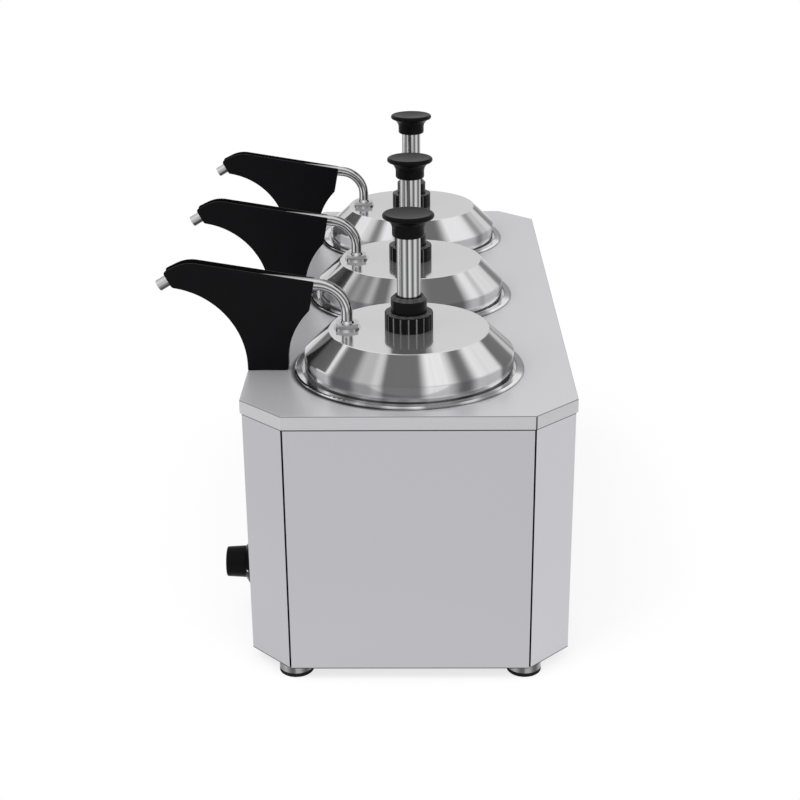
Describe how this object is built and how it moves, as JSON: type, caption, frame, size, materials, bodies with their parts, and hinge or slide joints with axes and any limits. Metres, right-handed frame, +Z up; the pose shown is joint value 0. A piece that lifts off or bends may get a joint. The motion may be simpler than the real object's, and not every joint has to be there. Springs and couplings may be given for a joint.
{
  "type": "hot topping warmer",
  "caption": "Counter warmer for hot toppings: jars in heated wells, each with a lid, a push pump and a tube along a heated black spout cover, over a steel cabinet with cut corners.",
  "frame": {"origin": "middle of the footprint box, on the table plane under the feet", "axes": "+X runs along the row of wells, -Y is the front where the spouts point, +Z is up"},
  "size_m": [0.603, 0.3504, 0.3608],
  "materials": {
    "satin_steel": "satin",
    "liner_steel": "satin",
    "jar_steel": "polished rim, satin inside",
    "lid_steel": "polished, with spun marks",
    "pump_steel": "satin",
    "bright_steel": "polished",
    "spring_steel": "drawn",
    "heater_sheath": "dull",
    "foot_metal": "satin",
    "foot_rubber": "matt",
    "black_nylon": "matt",
    "cover_plastic": "fine grain",
    "collar_plastic": "gloss",
    "knob_plastic": "satin",
    "rocker_plastic": "gloss",
    "valve_plastic": "matt",
    "piston_plastic": "matt",
    "thermostat_plastic": "matt",
    "block_plastic": "matt"
  },
  "bodies": {
    "cabinet": {"deck": "satin_steel", "front_panel": "satin_steel", "rear_panel": "satin_steel", "end_panel_left": "satin_steel", "end_panel_right": "satin_steel", "base_pan": "satin_steel", "foot_cups": "foot_metal", "foot_pads": "foot_rubber", "screws": "bright_steel", "gland_body": "black_nylon", "gland_cap": "black_nylon", "gland_locknut": "black_nylon", "terminal_block": "block_plastic", "switch_housing": "black_nylon", "band_heaters": "heater_sheath", "spout_heaters": "heater_sheath", "thermostats": "thermostat_plastic", "well_liner_left": "liner_steel", "spout_cover_left": "cover_plastic", "well_liner_middle": "liner_steel", "spout_cover_middle": "cover_plastic", "well_liner_right": "liner_steel", "spout_cover_right": "cover_plastic"},
    "jar_left": {"jar_left": "jar_steel"},
    "pump_left": {"lid_left": "lid_steel", "collar_left": "collar_plastic", "pump_cylinder_left": "pump_steel", "valve_body_left": "valve_plastic", "discharge_tube_left": "bright_steel", "tube_nut_left": "bright_steel", "spring_left": "spring_steel"},
    "plunger_left": {"plunger_tube_left": "bright_steel", "plunger_knob_left": "knob_plastic", "piston_left": "piston_plastic"},
    "dial_left": {"thermostat_knob_left": "knob_plastic"},
    "jar_middle": {"jar_middle": "jar_steel"},
    "pump_middle": {"lid_middle": "lid_steel", "collar_middle": "collar_plastic", "pump_cylinder_middle": "pump_steel", "valve_body_middle": "valve_plastic", "discharge_tube_middle": "bright_steel", "tube_nut_middle": "bright_steel", "spring_middle": "spring_steel"},
    "plunger_middle": {"plunger_tube_middle": "bright_steel", "plunger_knob_middle": "knob_plastic", "piston_middle": "piston_plastic"},
    "dial_middle": {"thermostat_knob_middle": "knob_plastic"},
    "jar_right": {"jar_right": "jar_steel"},
    "pump_right": {"lid_right": "lid_steel", "collar_right": "collar_plastic", "pump_cylinder_right": "pump_steel", "valve_body_right": "valve_plastic", "discharge_tube_right": "bright_steel", "tube_nut_right": "bright_steel", "spring_right": "spring_steel"},
    "plunger_right": {"plunger_tube_right": "bright_steel", "plunger_knob_right": "knob_plastic", "piston_right": "piston_plastic"},
    "dial_right": {"thermostat_knob_right": "knob_plastic"},
    "rocker": {"switch_rocker": "rocker_plastic"}
  },
  "joints": [
    {"name": "jar_lift_left", "type": "slide", "parent": "cabinet", "child": "jar_left", "axis": [0, 0, 1], "range_m": [0, 0.025]},
    {"name": "pump_lift_left", "type": "slide", "parent": "jar_left", "child": "pump_left", "axis": [0, 0.1771, 0.9842], "range_m": [0, 0.22]},
    {"name": "plunger_left", "type": "slide", "parent": "pump_left", "child": "plunger_left", "axis": [0, 0, 1], "range_m": [-0.04, 0], "stiffness_N_per_m": 200, "springref_m": 0.03, "deforming": ["spring_left"]},
    {"name": "dial_turn_left", "type": "hinge", "parent": "cabinet", "child": "dial_left", "pos_m": [-0.1955, -0.10243, 0.0526], "axis": [0, 1, 0], "range_deg": [0, 270]},
    {"name": "jar_lift_middle", "type": "slide", "parent": "cabinet", "child": "jar_middle", "axis": [0, 0, 1], "range_m": [0, 0.025]},
    {"name": "pump_lift_middle", "type": "slide", "parent": "jar_middle", "child": "pump_middle", "axis": [0, 0.1771, 0.9842], "range_m": [0, 0.22]},
    {"name": "plunger_middle", "type": "slide", "parent": "pump_middle", "child": "plunger_middle", "axis": [0, 0, 1], "range_m": [-0.04, 0], "stiffness_N_per_m": 200, "springref_m": 0.03, "deforming": ["spring_middle"]},
    {"name": "dial_turn_middle", "type": "hinge", "parent": "cabinet", "child": "dial_middle", "pos_m": [0, -0.10243, 0.0526], "axis": [0, 1, 0], "range_deg": [0, 270]},
    {"name": "jar_lift_right", "type": "slide", "parent": "cabinet", "child": "jar_right", "axis": [0, 0, 1], "range_m": [0, 0.025]},
    {"name": "pump_lift_right", "type": "slide", "parent": "jar_right", "child": "pump_right", "axis": [0, 0.1771, 0.9842], "range_m": [0, 0.22]},
    {"name": "plunger_right", "type": "slide", "parent": "pump_right", "child": "plunger_right", "axis": [0, 0, 1], "range_m": [-0.04, 0], "stiffness_N_per_m": 200, "springref_m": 0.03, "deforming": ["spring_right"]},
    {"name": "dial_turn_right", "type": "hinge", "parent": "cabinet", "child": "dial_right", "pos_m": [0.1955, -0.10243, 0.0526], "axis": [0, 1, 0], "range_deg": [0, 270]},
    {"name": "rocker_tilt", "type": "hinge", "parent": "cabinet", "child": "rocker", "pos_m": [-0.15, 0.15817, 0.05], "axis": [1, 0, 0], "range_deg": [0, 18]}
  ]
}
